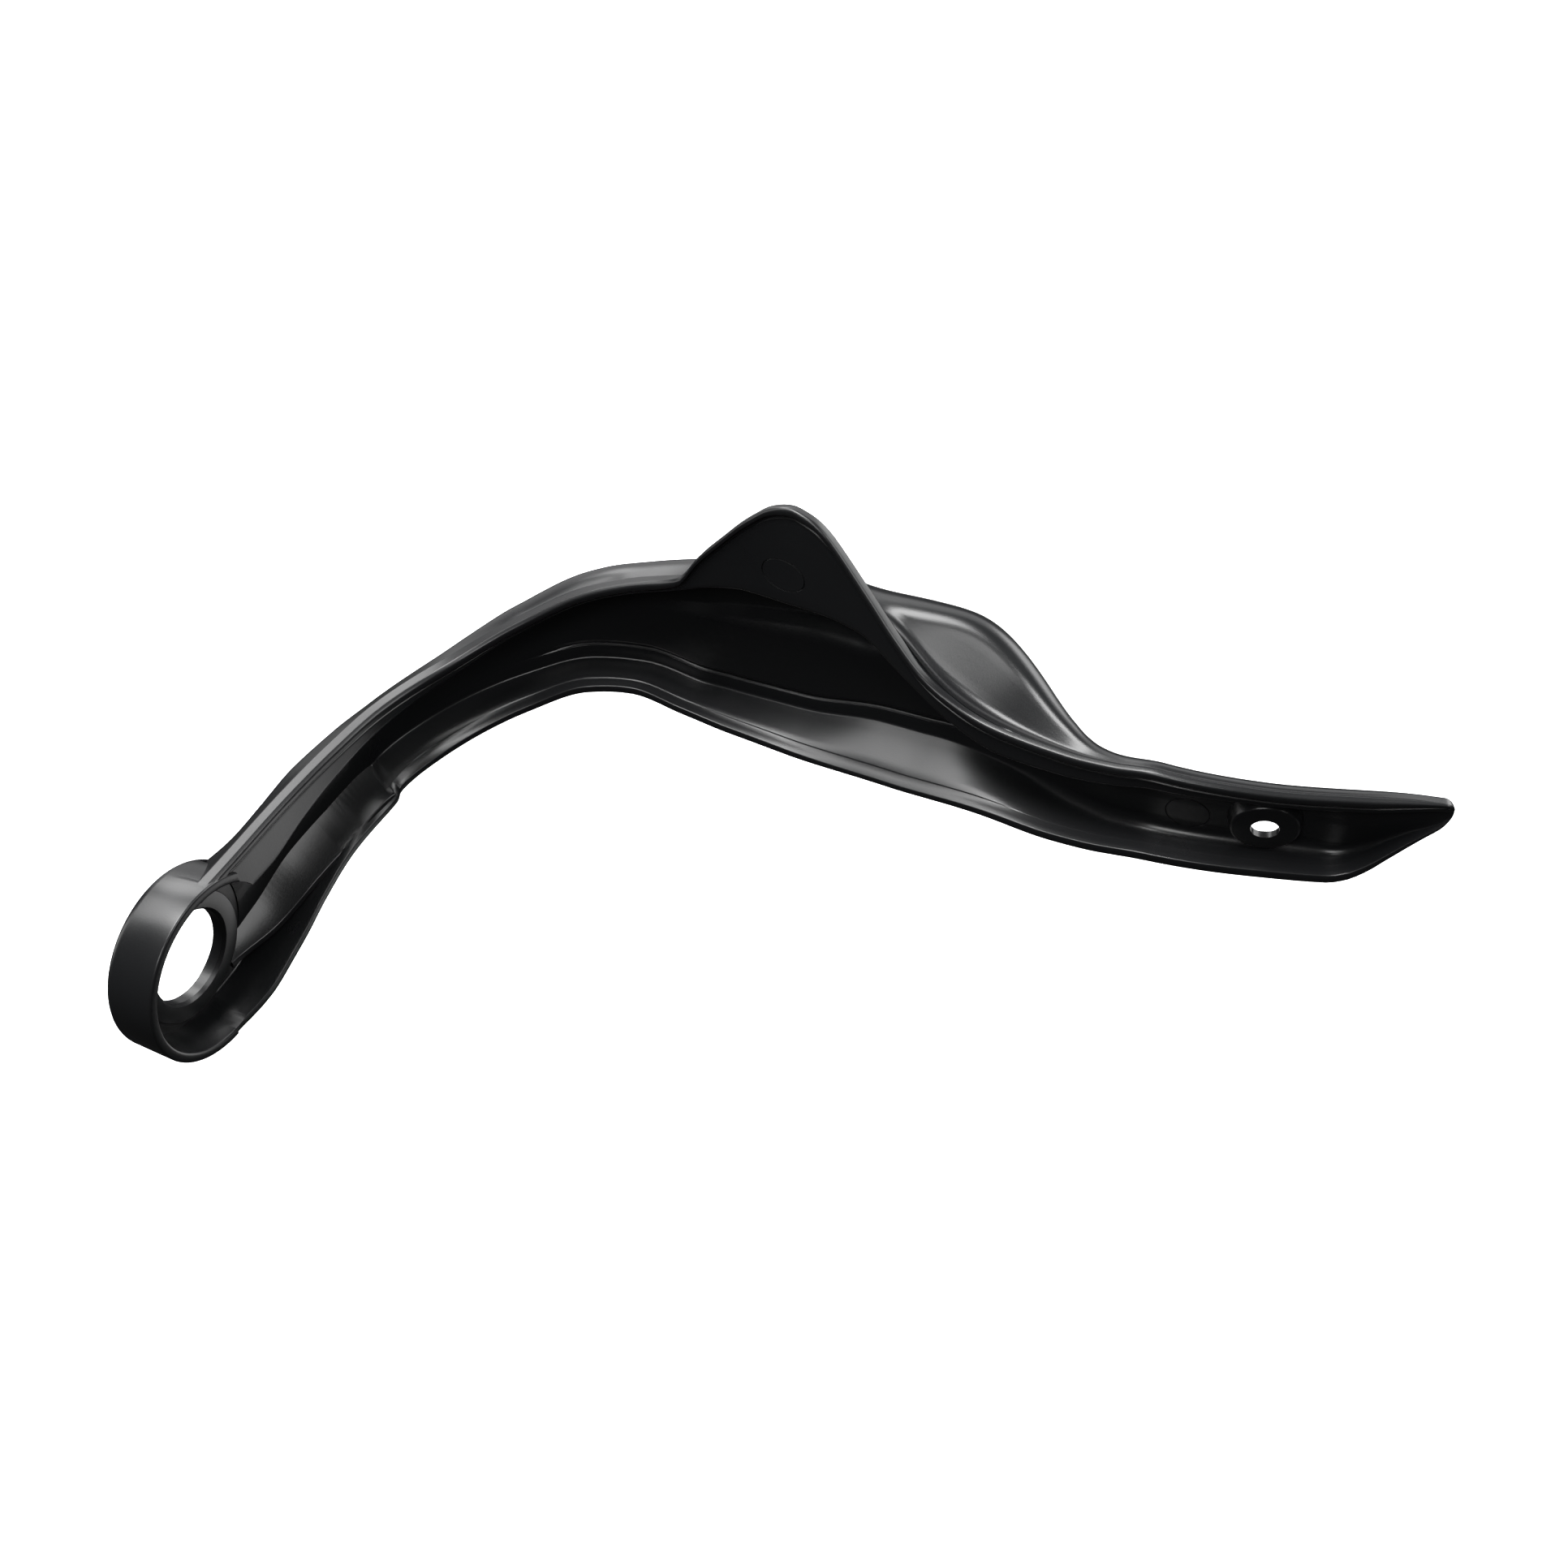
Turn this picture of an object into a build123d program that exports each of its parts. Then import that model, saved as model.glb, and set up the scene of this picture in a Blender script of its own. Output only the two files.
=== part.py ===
from build123d import *
from math import acos, cos, radians, tan
import os

os.makedirs("parts", exist_ok=True)

# Frame: the origin is the centre of the bar-end hole on its seat face. X runs along the
# handlebar towards the middle of the motorcycle, Y forwards away from the rider, Z up.

# Overall sizes
SPAN = 229.0            # bar-end hole to inner screw, along the handlebar
REACH = 112.0           # furthest the rider's edge of the shell stands in front of the bar
WALL = 2.6              # moulded wall

# Bar-end cup
BAR_HOLE_D = 24.0       # takes the spigot of the bar-end weight
SEAT_D = 34.0           # raised seat round the hole, the clamped face
SEAT_THICK = 3.6        # plastic between the two clamped faces
HEAD_SINK_D = 31.0      # sink in the back for the flange of the bar-end weight
CUP_D = 48.0            # outside of the cup at its rim
CUP_RIM = 8.2           # cup rim above the seat face
CUP_BACK = 6.0          # back of the cup below the seat face
CUP_DRAFT = 0.4         # how much slimmer the cup is at its back
CUP_EDGE = 2.4          # bevel on the cup's back edge
SMALL_EDGE = 0.5        # bevel on the cup's other edges

# Inner screw boss
SCREW_HOLE_D = 6.4      # clearance for a 6 mm screw
SCREW_SINK_D = 12.0     # washer and head sunk in from the front
SINK_FLARE = 32.0       # degrees the sink opens to each side, to let a tool in
BOSS_D = 15.2
BOSS_DRAFT = 14.0       # degrees the boss widens to each side towards its foot
BOSS_FLOOR = 1.6        # plastic under the screw head
BOSS_LENGTH = 4.6       # from the face into the wall behind
BOSS_Z = 46.9
BOSS_AXIS = (0.251, -0.936, -0.247)

# Rim of the shell
BEAD = 2.0              # height of the bead along the top edge
BEAD_STEP = 0.7         # how far the bead stands proud of the flange under it
BLADE = 2.6             # thickness of the upright blade
EDGE_ROUND = 0.7
ROUND_ROOM = 0.98        # share of a straight that the rounds at its two ends may take up
LEDGE_LOW = 0.53        # foot and top of the ledge in the front wall, as shares of its height
LEDGE_HIGH = 0.61
RIB = 2.0               # rib that parts the arm's channel from the pocket under it

# The rider's edge of the shell seen from above, drawn for a span and reach of 229 and 112
DRAWN = (229.0, 112.0)
PLAN = [(5, 0), (6, 40), (10, 62), (20, 86), (36, 101), (62, 111), (90, 111), (137, 104),
        (182, 95), (205, 93), (228, 96.5), (266.5, 107)]
BOSS_Y = 100.5 * REACH / DRAWN[1]

# The shell is drawn in four runs along that edge: root, arm, blade and plate. Each is given by
# the distances where it starts and ends and the number of steps between its cross sections.
RUNS = ((-10, 66, 9), (66, 142, 10), (142, 241, 20), (241, 336, 12))

# Guide curves: pairs of distance along the edge and size there
# height of the top edge, without the blade
TOP = [(-10, 23.3), (-4, 23.4), (8, 24), (15, 24.5), (30, 25.7), (44, 27.4), (60, 30.2),
       (78, 34), (100, 44), (116, 52.4), (128, 57), (142, 61.6), (152, 65.6), (162, 67.8),
       (172, 68), (182, 66.2), (196, 61), (206, 58), (217, 55.6), (232, 53.8), (250, 54.8),
       (262, 56.6), (273, 58.6), (296, 58.6), (317, 59.7), (335, 61.4)]
# how far the top edge stands out from the rider's edge
TOP_SET = [(-10, -3.2), (5, -3), (15, -2.6), (30, -1.7), (44, -0.8), (60, 0), (336, 0)]
# rise of the upright blade and its bead over the top edge
BLADE_RISE = [(0, 0), (136, 0), (142, 0.5), (148, 6.1), (156, 12.7), (164, 19.7), (168, 22.9),
              (172, 24.7), (176, 25.6), (180, 25.5), (184, 24.3), (188, 22), (196, 16.4),
              (204, 10), (212, 4.8), (218, 2.9), (226, 1.8), (236, 1.5), (317, 1.3), (335, 0.8)]
# height of the bottom rim
BOTTOM = [(-10, -23.5), (-4, -23.6), (4, -22.9), (15, -19), (30, -11.8), (44, -5.5), (58, -0.8),
          (64, 2), (78, 6.4), (100, 15), (116, 21.2), (128, 22.4), (142, 19.7), (156, 18.5),
          (172, 18.7), (204, 22.4), (232, 27.7), (246, 29), (258, 31), (273, 33.9), (296, 35.1),
          (313, 35.9), (317, 37.2), (321, 40.3), (325, 45), (333, 54.2), (336, 57)]
# how far the bottom rim stands out from the rider's edge
BOTTOM_SET = [(-10, -3.2), (4, -3.8), (20, -3.6), (30, -2.8), (44, -1.6), (58, -0.6), (78, 0),
              (335, 0)]
# depth of the ridge along the front, and its height over the top edge
TOP_DEPTH = [(-10, 11), (0, 11), (15, 10), (30, 9.8), (52, 9.8), (78, 11), (100, 13.2),
             (116, 14.6), (142, 15), (172, 15.6), (188, 17.5), (204, 20.5), (217, 23), (232, 21),
             (250, 10), (262, 7), (273, 6.5), (296, 6.2), (317, 6), (335, 4)]
RIDGE = [(-10, -6.5), (2, -8.3), (15, -8.5), (30, -6.4), (52, -4.5), (78, -2), (100, 1.2),
         (116, 3.6), (130, 3.4), (142, 2.2), (156, 1), (172, 4), (188, 9.2), (204, 17.6),
         (217, 21), (232, 16.8), (243, 9.4), (252, 3.6), (262, 1.6), (273, 1.2), (296, 1.2),
         (317, 0.8), (335, 0)]
# width of the ledge in the front wall
LEDGE = [(-10, 0.1), (128, 0.1), (142, 2), (156, 4), (172, 5), (217, 5), (235, 2), (250, 0.1),
         (336, 0.1)]
# depth of the front wall's foot, and its height over the bottom rim
BOTTOM_DEPTH = [(-10, 11), (52, 11.2), (100, 12.5), (142, 14), (172, 14.5), (217, 15), (232, 15),
                (250, 14), (273, 12), (296, 12), (317, 11), (327, 8.5), (335, 4)]
TILT = [(-10, 0.5), (30, 0.5), (48, 3), (60, 6.5), (78, 6), (100, 4), (116, 2), (128, 0.8),
        (142, 1.2), (151, 3), (174, 6), (196, 9.5), (210, 9.5), (232, 6), (250, 3.5), (273, 2),
        (296, 1.5), (335, 0.5)]
# height of the strip under the bead
FLANGE = [(-10, 10), (15, 11), (30, 8), (52, 4.6), (78, 2), (116, 0.6), (188, 0.6), (232, 4.5),
          (273, 1.8), (296, 0.4), (335, 0.3)]
# radius under that strip, and of the valley between blade and ridge
FOLD = [(0, 0.8), (142, 0.8), (164, 3), (172, 3.4), (182, 2.2), (190, 1.4), (217, 0.8),
        (317, 0.6), (335, 0.1)]
VALLEY = [(0, 0.8), (142, 0.8), (156, 2.5), (172, 3), (188, 3), (204, 4.5), (217, 4.5), (232, 3),
          (245, 1.6), (260, 0.8), (335, 0.4)]
# how far the valley is scooped out from the blade
SCOOP = [(-10, 0), (178, 0), (192, 1.5), (204, 3.4), (217, 4), (232, 3), (248, 0.4), (258, 0),
         (336, 0)]
# radius of the front wall's foot, and of the ridge
BOTTOM_CORNER = [(-10, 1.8), (30, 5), (100, 5), (142, 4), (217, 4), (250, 5), (296, 4.5),
                 (313, 4), (335, 0.6)]
RIDGE_CORNER = [(-10, 3), (15, 5), (30, 6), (78, 7), (142, 7), (172, 5), (188, 4.4), (217, 4.2),
                (232, 3.6), (250, 3.2), (273, 2.4), (296, 2.6), (317, 2.4), (335, 0.6)]
# share of the wall and of the hollow that is left towards the tip
THIN = [(0, 1), (317, 1), (327, 0.7), (335, 0.36)]
HOLLOW = [(0, 1), (310, 1), (327, 0.6), (336, 0.2)]
# height of the rib's edge, its rise to the front and its set from the rider's edge
RIB_TOP = [(2, -13), (15, -12), (30, -7), (44, -3), (60, 2.9)]
RIB_LEAN = [(2, 2.5), (15, 4.5), (30, 6), (60, 7)]
RIB_SET = [(2, 5), (15, 2.5), (30, 0.4), (44, 0), (60, 0)]


def guide_slope(guide, at):
    """Slope of a guide curve at its point number at, flat at ends, peaks and dips."""
    if at in (0, len(guide) - 1):
        return 0.0
    (s0, v0), (s1, v1), (s2, v2) = guide[at - 1:at + 2]
    before = (v1 - v0) / (s1 - s0)
    after = (v2 - v1) / (s2 - s1)
    if before * after <= 0:
        return 0.0
    return 2 * before * after / (before + after)


def along(guide, s):
    """Size on a guide curve at distance s, eased between its points without overshoot."""
    for at in range(len(guide) - 1):
        (s0, v0), (s1, v1) = guide[at], guide[at + 1]
        if s <= s1:
            t = max(0.0, (s - s0) / (s1 - s0))
            m0 = guide_slope(guide, at) * (s1 - s0)
            m1 = guide_slope(guide, at + 1) * (s1 - s0)
            ease_in = (v0 * (1 + 2 * t) + m0 * t) * (1 - t) ** 2
            ease_out = (v1 * (3 - 2 * t) - m1 * (1 - t)) * t * t
            return ease_in + ease_out
    return guide[-1][1]


def inside(a, b, c, wall):
    """Corner b of the path a, b, c moved to the left by one wall."""
    d0 = (Vector(*b) - Vector(*a)).normalized()
    d1 = (Vector(*c) - Vector(*b)).normalized()
    n0 = Vector(-d0.Y, d0.X)
    n1 = Vector(-d1.Y, d1.X)
    k = wall / (1 + n0.dot(n1))
    return (b[0] + k * (n0.X + n1.X), b[1] + k * (n0.Y + n1.Y))


def section(s):
    """Corners (outwards, up) of the cross section at distance s, each with its radius."""
    thin = along(THIN, s)
    wall = WALL * thin
    edge = EDGE_ROUND * thin
    top = along(TOP, s)
    rise = along(BLADE_RISE, s)
    upright = min(1.0, rise / 6.0)
    peak = top + rise
    bottom = along(BOTTOM, s)
    low = along(BOTTOM_CORNER, s)
    high = along(RIDGE_CORNER, s)
    near = along(TOP_SET, s)
    face = near + BEAD_STEP * thin
    rim = (along(BOTTOM_SET, s), bottom)
    heel = (along(BOTTOM_DEPTH, s), bottom + along(TILT, s))
    ridge = (along(TOP_DEPTH, s), top + along(RIDGE, s))
    scoop = along(SCOOP, s)
    valley = (near + (3.4 - 0.8 * upright) * thin + scoop, top + 0.3 * (1 - upright))
    ledge = along(LEDGE, s) / 2
    out, up = ridge[0] - heel[0], ridge[1] - heel[1]
    step_low = (heel[0] + LEDGE_LOW * out - ledge, heel[1] + LEDGE_LOW * up)
    step_high = (heel[0] + LEDGE_HIGH * out + ledge, heel[1] + LEDGE_HIGH * up)
    hollow = along(HOLLOW, s)
    path_out = (rim, heel, step_low, step_high, ridge, valley)
    deep = [inside(*path_out[i:i + 3], wall) for i in range(4)]
    low_in, step_low_in, step_high_in, top_in = [(face + hollow * (n - face), z) for n, z in deep]
    blade_back = (near + (0.9 + (BLADE - 0.9) * upright) * thin, peak + 0.3 * (1 - upright))
    fold = (face, top - wall - along(FLANGE, s))
    # the inside follows the valley under the scoop and runs straight to the fold elsewhere
    under = inside(ridge, valley, blade_back, wall)
    share = min(1.0, scoop / 1.5)
    flat = (0.65 * fold[0] + 0.35 * top_in[0], 0.65 * fold[1] + 0.35 * top_in[1] - 0.06)
    valley_in = tuple(share * under[i] + (1 - share) * flat[i] for i in (0, 1))
    return [
        (rim, edge, 1),
        (heel, low, 3),
        (step_low, 0, 0),
        (step_high, 0, 0),
        (ridge, high, 4),
        (valley, along(VALLEY, s), 3),
        (blade_back, 0.5 * edge, 1),
        ((near, peak - 0.4 * (1 - upright) * thin), 0.5 * edge, 1),
        ((near, peak - BEAD * thin), 0, 0),
        ((face, peak - BEAD * thin), 0, 0),
        (fold, along(FOLD, s), 3),
        (valley_in, 0, 0),
        (top_in, high / 2 * thin, 2),
        (step_high_in, 0, 0),
        (step_low_in, 0, 0),
        (low_in, low / 2 * thin, 2),
        ((rim[0], bottom + wall), 0, 0),
    ]


def rounded(corners):
    """Closed outline through the corners, each bend laid to its radius in a few flats."""
    bends = []
    for i, (at, radius, flats) in enumerate(corners):
        here = Vector(*at)
        before = Vector(*corners[i - 1][0]) - here
        after = Vector(*corners[(i + 1) % len(corners)][0]) - here
        half = (radians(180) - acos(before.normalized().dot(after.normalized()))) / 2
        bends.append((here, before, after, half, radius * tan(half) if flats else 0.0))
    points = []
    for i, (at, radius, flats) in enumerate(corners):
        here, before, after, half, reach = bends[i]
        if not flats:
            points.append(here)
            continue
        # a round never takes more than its share of the straights beside it
        room = min(before.length * ROUND_ROOM / (reach + bends[i - 1][4]),
                   after.length * ROUND_ROOM / (reach + bends[(i + 1) % len(bends)][4]))
        radius *= min(1.0, room)
        back, on = before.normalized(), after.normalized()
        centre = here + (back + on).normalized() * (radius / cos(half))
        start = here + back * (radius * tan(half)) - centre
        end = here + on * (radius * tan(half)) - centre
        for k in range(flats + 1):
            spoke = start * (1 - k / flats) + end * (k / flats)
            points.append(centre + spoke.normalized() * radius)
    return points


with BuildLine() as edge_plan:
    Spline(*[(x * SPAN / DRAWN[0], y * REACH / DRAWN[1]) for x, y in PLAN])
path = edge_plan.line


def station_plane(s):
    """Upright plane square to the edge at distance s, its x pointing out of the shell."""
    first, last = RUNS[0][0], RUNS[-1][1]
    u = (s - first) / (last - first)
    spot = path @ u
    heading = path % u
    return Plane(origin=(spot.X, spot.Y, 0), x_dir=(-heading.Y, heading.X, 0),
                 z_dir=(heading.X, heading.Y, 0))


cup_floor = WALL - CUP_BACK
cup_inside = CUP_D / 2 - WALL

with BuildPart() as cup:
    with BuildSketch(Plane.XZ):
        with BuildLine():
            Polyline(
                (-CUP_BACK, HEAD_SINK_D / 2),
                (-CUP_BACK, CUP_D / 2 - CUP_DRAFT - CUP_EDGE),
                (0.4 * CUP_EDGE - CUP_BACK, CUP_D / 2 - CUP_DRAFT - 0.4 * CUP_EDGE),
                (CUP_EDGE - CUP_BACK, CUP_D / 2 - CUP_DRAFT),
                (CUP_RIM - SMALL_EDGE, CUP_D / 2),
                (CUP_RIM, CUP_D / 2 - SMALL_EDGE),
                (CUP_RIM, cup_inside + SMALL_EDGE),
                (CUP_RIM - SMALL_EDGE, cup_inside),
                (cup_floor, cup_inside - CUP_DRAFT),
                (cup_floor, HEAD_SINK_D / 2),
                close=True,
            )
        make_face()
        # raised seat on the cup's floor
        with BuildLine():
            Polyline(
                (-SEAT_THICK, BAR_HOLE_D / 2),
                (-SEAT_THICK, SEAT_D / 2),
                (-SMALL_EDGE, SEAT_D / 2),
                (0, SEAT_D / 2 - SMALL_EDGE),
                (0, BAR_HOLE_D / 2),
                close=True,
            )
        make_face()
    revolve(axis=Axis.X)
    # mouth of the arm's channel in the cup wall
    with BuildSketch(Plane.YZ.offset(cup_floor)):
        with BuildLine():
            Polyline((0.01 * CUP_D, -CUP_D), (CUP_D, -CUP_D), (CUP_D, CUP_D), (0.27 * CUP_D, CUP_D),
                     (0.27 * CUP_D, 0.3 * CUP_D), (0.01 * CUP_D, -0.38 * CUP_D), close=True)
        make_face()
        Circle(SEAT_D / 2 + 0.5, mode=Mode.SUBTRACT)
    extrude(amount=CUP_BACK + CUP_RIM, mode=Mode.SUBTRACT)

with BuildPart() as guard:
    for start, end, steps in RUNS:
        for k in range(steps + 1):
            s = start + (end - start) * k / steps
            with BuildSketch(station_plane(s)):
                with BuildLine():
                    Polyline(*rounded(section(s)), close=True)
                make_face()
        loft(clean=False)
    # the shell stops at the inside of the cup
    with BuildSketch(Plane.YZ.offset(cup_floor)):
        Circle(cup_inside)
    extrude(amount=4 * CUP_RIM, both=True, mode=Mode.SUBTRACT, clean=False)
    add(cup.part, clean=False)
    # rib from the seat along the arm, between its channel and the pocket under it
    for s, top in RIB_TOP:
        near = along(RIB_SET, s)
        lean = along(RIB_LEAN, s)
        deep = along(BOTTOM_DEPTH, s) - WALL / 2
        with BuildSketch(station_plane(s)):
            with BuildLine():
                Polyline((near, top), (deep, top + lean), (deep, top + lean - RIB),
                         (near, top - RIB), close=True)
            make_face()
    loft(clean=False)
    # inner screw boss
    boss_face = Plane(origin=(SPAN, BOSS_Y, BOSS_Z), z_dir=BOSS_AXIS)
    with BuildSketch(boss_face):
        Circle(BOSS_D / 2)
    extrude(amount=-BOSS_LENGTH, taper=-BOSS_DRAFT, clean=False)
    with BuildSketch(boss_face.offset(-BOSS_FLOOR)):
        Circle(SCREW_SINK_D / 2)
    extrude(amount=-2 * BOSS_LENGTH, taper=-SINK_FLARE, mode=Mode.SUBTRACT, clean=False)
    with BuildSketch(boss_face):
        Circle(SCREW_HOLE_D / 2)
    extrude(amount=4 * BOSS_LENGTH, both=True, mode=Mode.SUBTRACT, clean=False)

guard.part.label = "hand_guard"
export_step(guard.part, "parts/hand_guard.step")
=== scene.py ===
import bpy
import bmesh
from math import acos, cos, exp, pi, radians, sin, sqrt, tan
from mathutils import Matrix, Vector


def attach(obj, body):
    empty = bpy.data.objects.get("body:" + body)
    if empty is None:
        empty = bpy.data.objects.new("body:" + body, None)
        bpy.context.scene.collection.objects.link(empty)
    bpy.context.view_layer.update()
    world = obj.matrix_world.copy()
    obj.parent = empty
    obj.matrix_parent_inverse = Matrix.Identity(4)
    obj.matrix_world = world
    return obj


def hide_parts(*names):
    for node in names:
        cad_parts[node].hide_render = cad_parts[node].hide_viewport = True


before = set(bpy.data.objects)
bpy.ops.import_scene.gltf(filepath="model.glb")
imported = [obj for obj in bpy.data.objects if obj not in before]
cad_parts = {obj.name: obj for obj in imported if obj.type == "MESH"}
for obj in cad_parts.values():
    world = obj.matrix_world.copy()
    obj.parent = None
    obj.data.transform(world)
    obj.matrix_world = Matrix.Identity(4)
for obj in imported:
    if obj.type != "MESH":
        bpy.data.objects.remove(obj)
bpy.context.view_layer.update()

MM = 0.001
BAR_AXIS = Vector((1, 0, 0))

# Sizes of the moulding, in millimetres, most of them as in the part's source
# wall, bar-end hole and cup
WALL = 2.6
BAR_HOLE_D = 24.0
SEAT_D = 34.0
SEAT_THICK = 3.6
HEAD_SINK_D = 31.0
CUP_D = 48.0
CUP_RIM = 8.2
CUP_BACK = 6.0
CUP_DRAFT = 0.4
CUP_EDGE = 2.4
CUP_LIP = 0.6
SEAT_EDGE = 0.4
HOLE_BEVEL = 0.7
HOLE_BEVEL_DEEP = 0.9
# side of the cup that opens into the arm, as corners (forwards, up), and how far along the bar
CUP_MOUTH = [(0.4, -48), (48, -48), (48, 48), (13, 48), (13, 14), (0.4, -18)]
CUP_MOUTH_END = 20
# peg that keeps the seat whole where the cup opens, and peg that clears the shell out of the cup
KEEP_GAP = 1
KEEP_LENGTH = 30
ROOM_REACH = 40
# inner screw boss with its hole and its sunk front
SCREW_HOLE_D = 6.4
SCREW_SINK_D = 12.0
BOSS_D = 15.2
BOSS_FOOT_D = 17.6
SINK_MOUTH_D = 27.0
BOSS_FLOOR = 1.6
BOSS_LENGTH = 4.6
BOSS_EDGE = 0.5
SINK_DEEP = 12
HOLE_REACH = 15
BOSS_FACE = Vector((229.0, 100.5, 46.9))
BOSS_AXIS = Vector((0.251, -0.936, -0.247)).normalized()
# bead along the top edge, blade, ledge across the front wall, rib in the arm
BEAD = 2.0
BEAD_STEP = 0.7
BLADE = 2.6
EDGE_ROUND = 0.7
LEDGE_LOW = 0.53
LEDGE_HIGH = 0.61
RIB = 2.0
RIB_EDGE = 0.5
RIB_FIRST, RIB_LAST = 2, 60
# ends of the shell, as distances along the rider's edge
FIRST, LAST = -10, 336
TIP_ROUND = 2.2
# rings that ejector pins leave: name, middle, facing, diameter, share of that in height; and their line
PIN_MARKS = [("blade_pin_mark", (106.1, 109.86, 73.8), (-0.133, -0.991, 0), 12, 0.7),
             ("plate_pin_mark", (211.5, 100.7, 45.2), (0.12, -0.964, -0.236), 10, 1.0)]
PIN_LINE = 0.22

# The rider's edge seen from above, as points (along the bar, forwards)
PLAN = [(5, 0), (6, 40), (10, 62), (20, 86), (36, 101), (62, 111), (90, 111), (137, 104),
        (182, 95), (205, 93), (228, 96.5), (266.5, 107)]

# Guide curves: pairs of distance along the edge and size there
# height of the top edge, without the blade
TOP = [(-10, 23.3), (-4, 23.4), (8, 24), (15, 24.5), (30, 25.7), (44, 27.4), (60, 30.2), (78, 34),
       (100, 44), (116, 52.4), (128, 57), (142, 61.6), (152, 65.6), (162, 67.8), (172, 68), (182, 66.2),
       (196, 61), (206, 58), (217, 55.6), (232, 53.8), (250, 54.8), (262, 56.6), (273, 58.6),
       (296, 58.6), (317, 59.7), (335, 61.4)]
# how far the top edge stands out from the rider's edge
TOP_SET = [(-10, -3.2), (5, -3), (15, -2.6), (30, -1.7), (44, -0.8), (60, 0), (336, 0)]
# rise of the upright blade and its bead over the top edge
BLADE_RISE = [(0, 0), (136, 0), (142, 0.5), (148, 6.1), (156, 12.7), (164, 19.7), (168, 22.9), (172, 24.7),
              (176, 25.6), (180, 25.5), (184, 24.3), (188, 22), (196, 16.4), (204, 10), (212, 4.8),
              (218, 2.9), (226, 1.8), (236, 1.5), (317, 1.3), (335, 0.8)]
# height of the bottom rim
BOTTOM = [(-10, -23.5), (-4, -23.6), (4, -22.9), (15, -19), (30, -11.8), (44, -5.5), (58, -0.8), (64, 2),
          (78, 6.4), (100, 15), (116, 21.2), (128, 22.4), (142, 19.7), (156, 18.5), (172, 18.7), (204, 22.4),
          (232, 27.7), (246, 29), (258, 31), (273, 33.9), (296, 35.1), (313, 35.9), (317, 37.2), (321, 40.3),
          (325, 45), (333, 54.2), (336, 57)]
# how far the bottom rim stands out from the rider's edge
BOTTOM_SET = [(-10, -3.2), (4, -3.8), (20, -3.6), (30, -2.8), (44, -1.6), (58, -0.6), (78, 0), (335, 0)]
# depth of the ridge along the front, and its height over the top edge
TOP_DEPTH = [(-10, 11), (0, 11), (15, 10), (30, 9.8), (52, 9.8), (78, 11), (100, 13.2), (116, 14.6),
             (142, 15), (172, 15.6), (188, 17.5), (204, 20.5), (217, 23), (232, 21), (250, 10), (262, 7),
             (273, 6.5), (296, 6.2), (317, 6), (335, 4)]
RIDGE = [(-10, -6.5), (2, -8.3), (15, -8.5), (30, -6.4), (52, -4.5), (78, -2), (100, 1.2), (116, 3.6),
         (130, 3.4), (142, 2.2), (156, 1), (172, 4), (188, 9.2), (204, 17.6), (217, 21), (232, 16.8),
         (243, 9.4), (252, 3.6), (262, 1.6), (273, 1.2), (296, 1.2), (317, 0.8), (335, 0)]
# width of the ledge in the front wall
LEDGE = [(-10, 0.1), (128, 0.1), (142, 2), (156, 4), (172, 5), (217, 5), (235, 2), (250, 0.1), (336, 0.1)]
# depth of the front wall's foot, and its height over the bottom rim
BOTTOM_DEPTH = [(-10, 11), (52, 11.2), (100, 12.5), (142, 14), (172, 14.5), (217, 15), (232, 15), (250, 14),
                (273, 12), (296, 12), (317, 11), (327, 8.5), (335, 4)]
TILT = [(-10, 0.5), (30, 0.5), (48, 3), (60, 6.5), (78, 6), (100, 4), (116, 2), (128, 0.8), (142, 1.2),
        (151, 3), (174, 6), (196, 9.5), (210, 9.5), (232, 6), (250, 3.5), (273, 2), (296, 1.5), (335, 0.5)]
# height of the strip under the bead
FLANGE = [(-10, 10), (15, 11), (30, 8), (52, 4.6), (78, 2), (116, 0.6), (188, 0.6), (232, 4.5), (273, 1.8),
          (296, 0.4), (335, 0.3)]
# radius under that strip, and of the valley between blade and ridge
FOLD = [(0, 0.8), (142, 0.8), (164, 1.2), (182, 1.2), (217, 0.8), (317, 0.6), (335, 0.1)]
VALLEY = [(0, 0.8), (142, 0.8), (156, 2.5), (172, 3), (188, 3), (204, 4.5), (217, 4.5), (232, 3),
          (245, 1.6), (260, 0.8), (335, 0.4)]
# how far the valley is scooped out from the blade
SCOOP = [(-10, 0), (178, 0), (192, 0.8), (204, 1.5), (217, 1.7), (232, 1.3), (248, 0.3), (258, 0), (336, 0)]
# radius of the front wall's foot, and of the ridge
BOTTOM_CORNER = [(-10, 1.8), (30, 5), (100, 5), (142, 4), (217, 4), (250, 5), (296, 4.5), (313, 4),
                 (335, 0.6)]
RIDGE_CORNER = [(-10, 3), (15, 5), (30, 6), (78, 7), (142, 7), (172, 6), (188, 7), (204, 8), (217, 8),
                (232, 6), (250, 3.2), (273, 2.4), (296, 2.6), (317, 2.4), (335, 0.6)]
# share of the wall and of the hollow that is left towards the tip
THIN = [(0, 1), (317, 1), (327, 0.7), (335, 0.36)]
HOLLOW = [(0, 1), (310, 1), (327, 0.6), (336, 0.2)]
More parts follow.
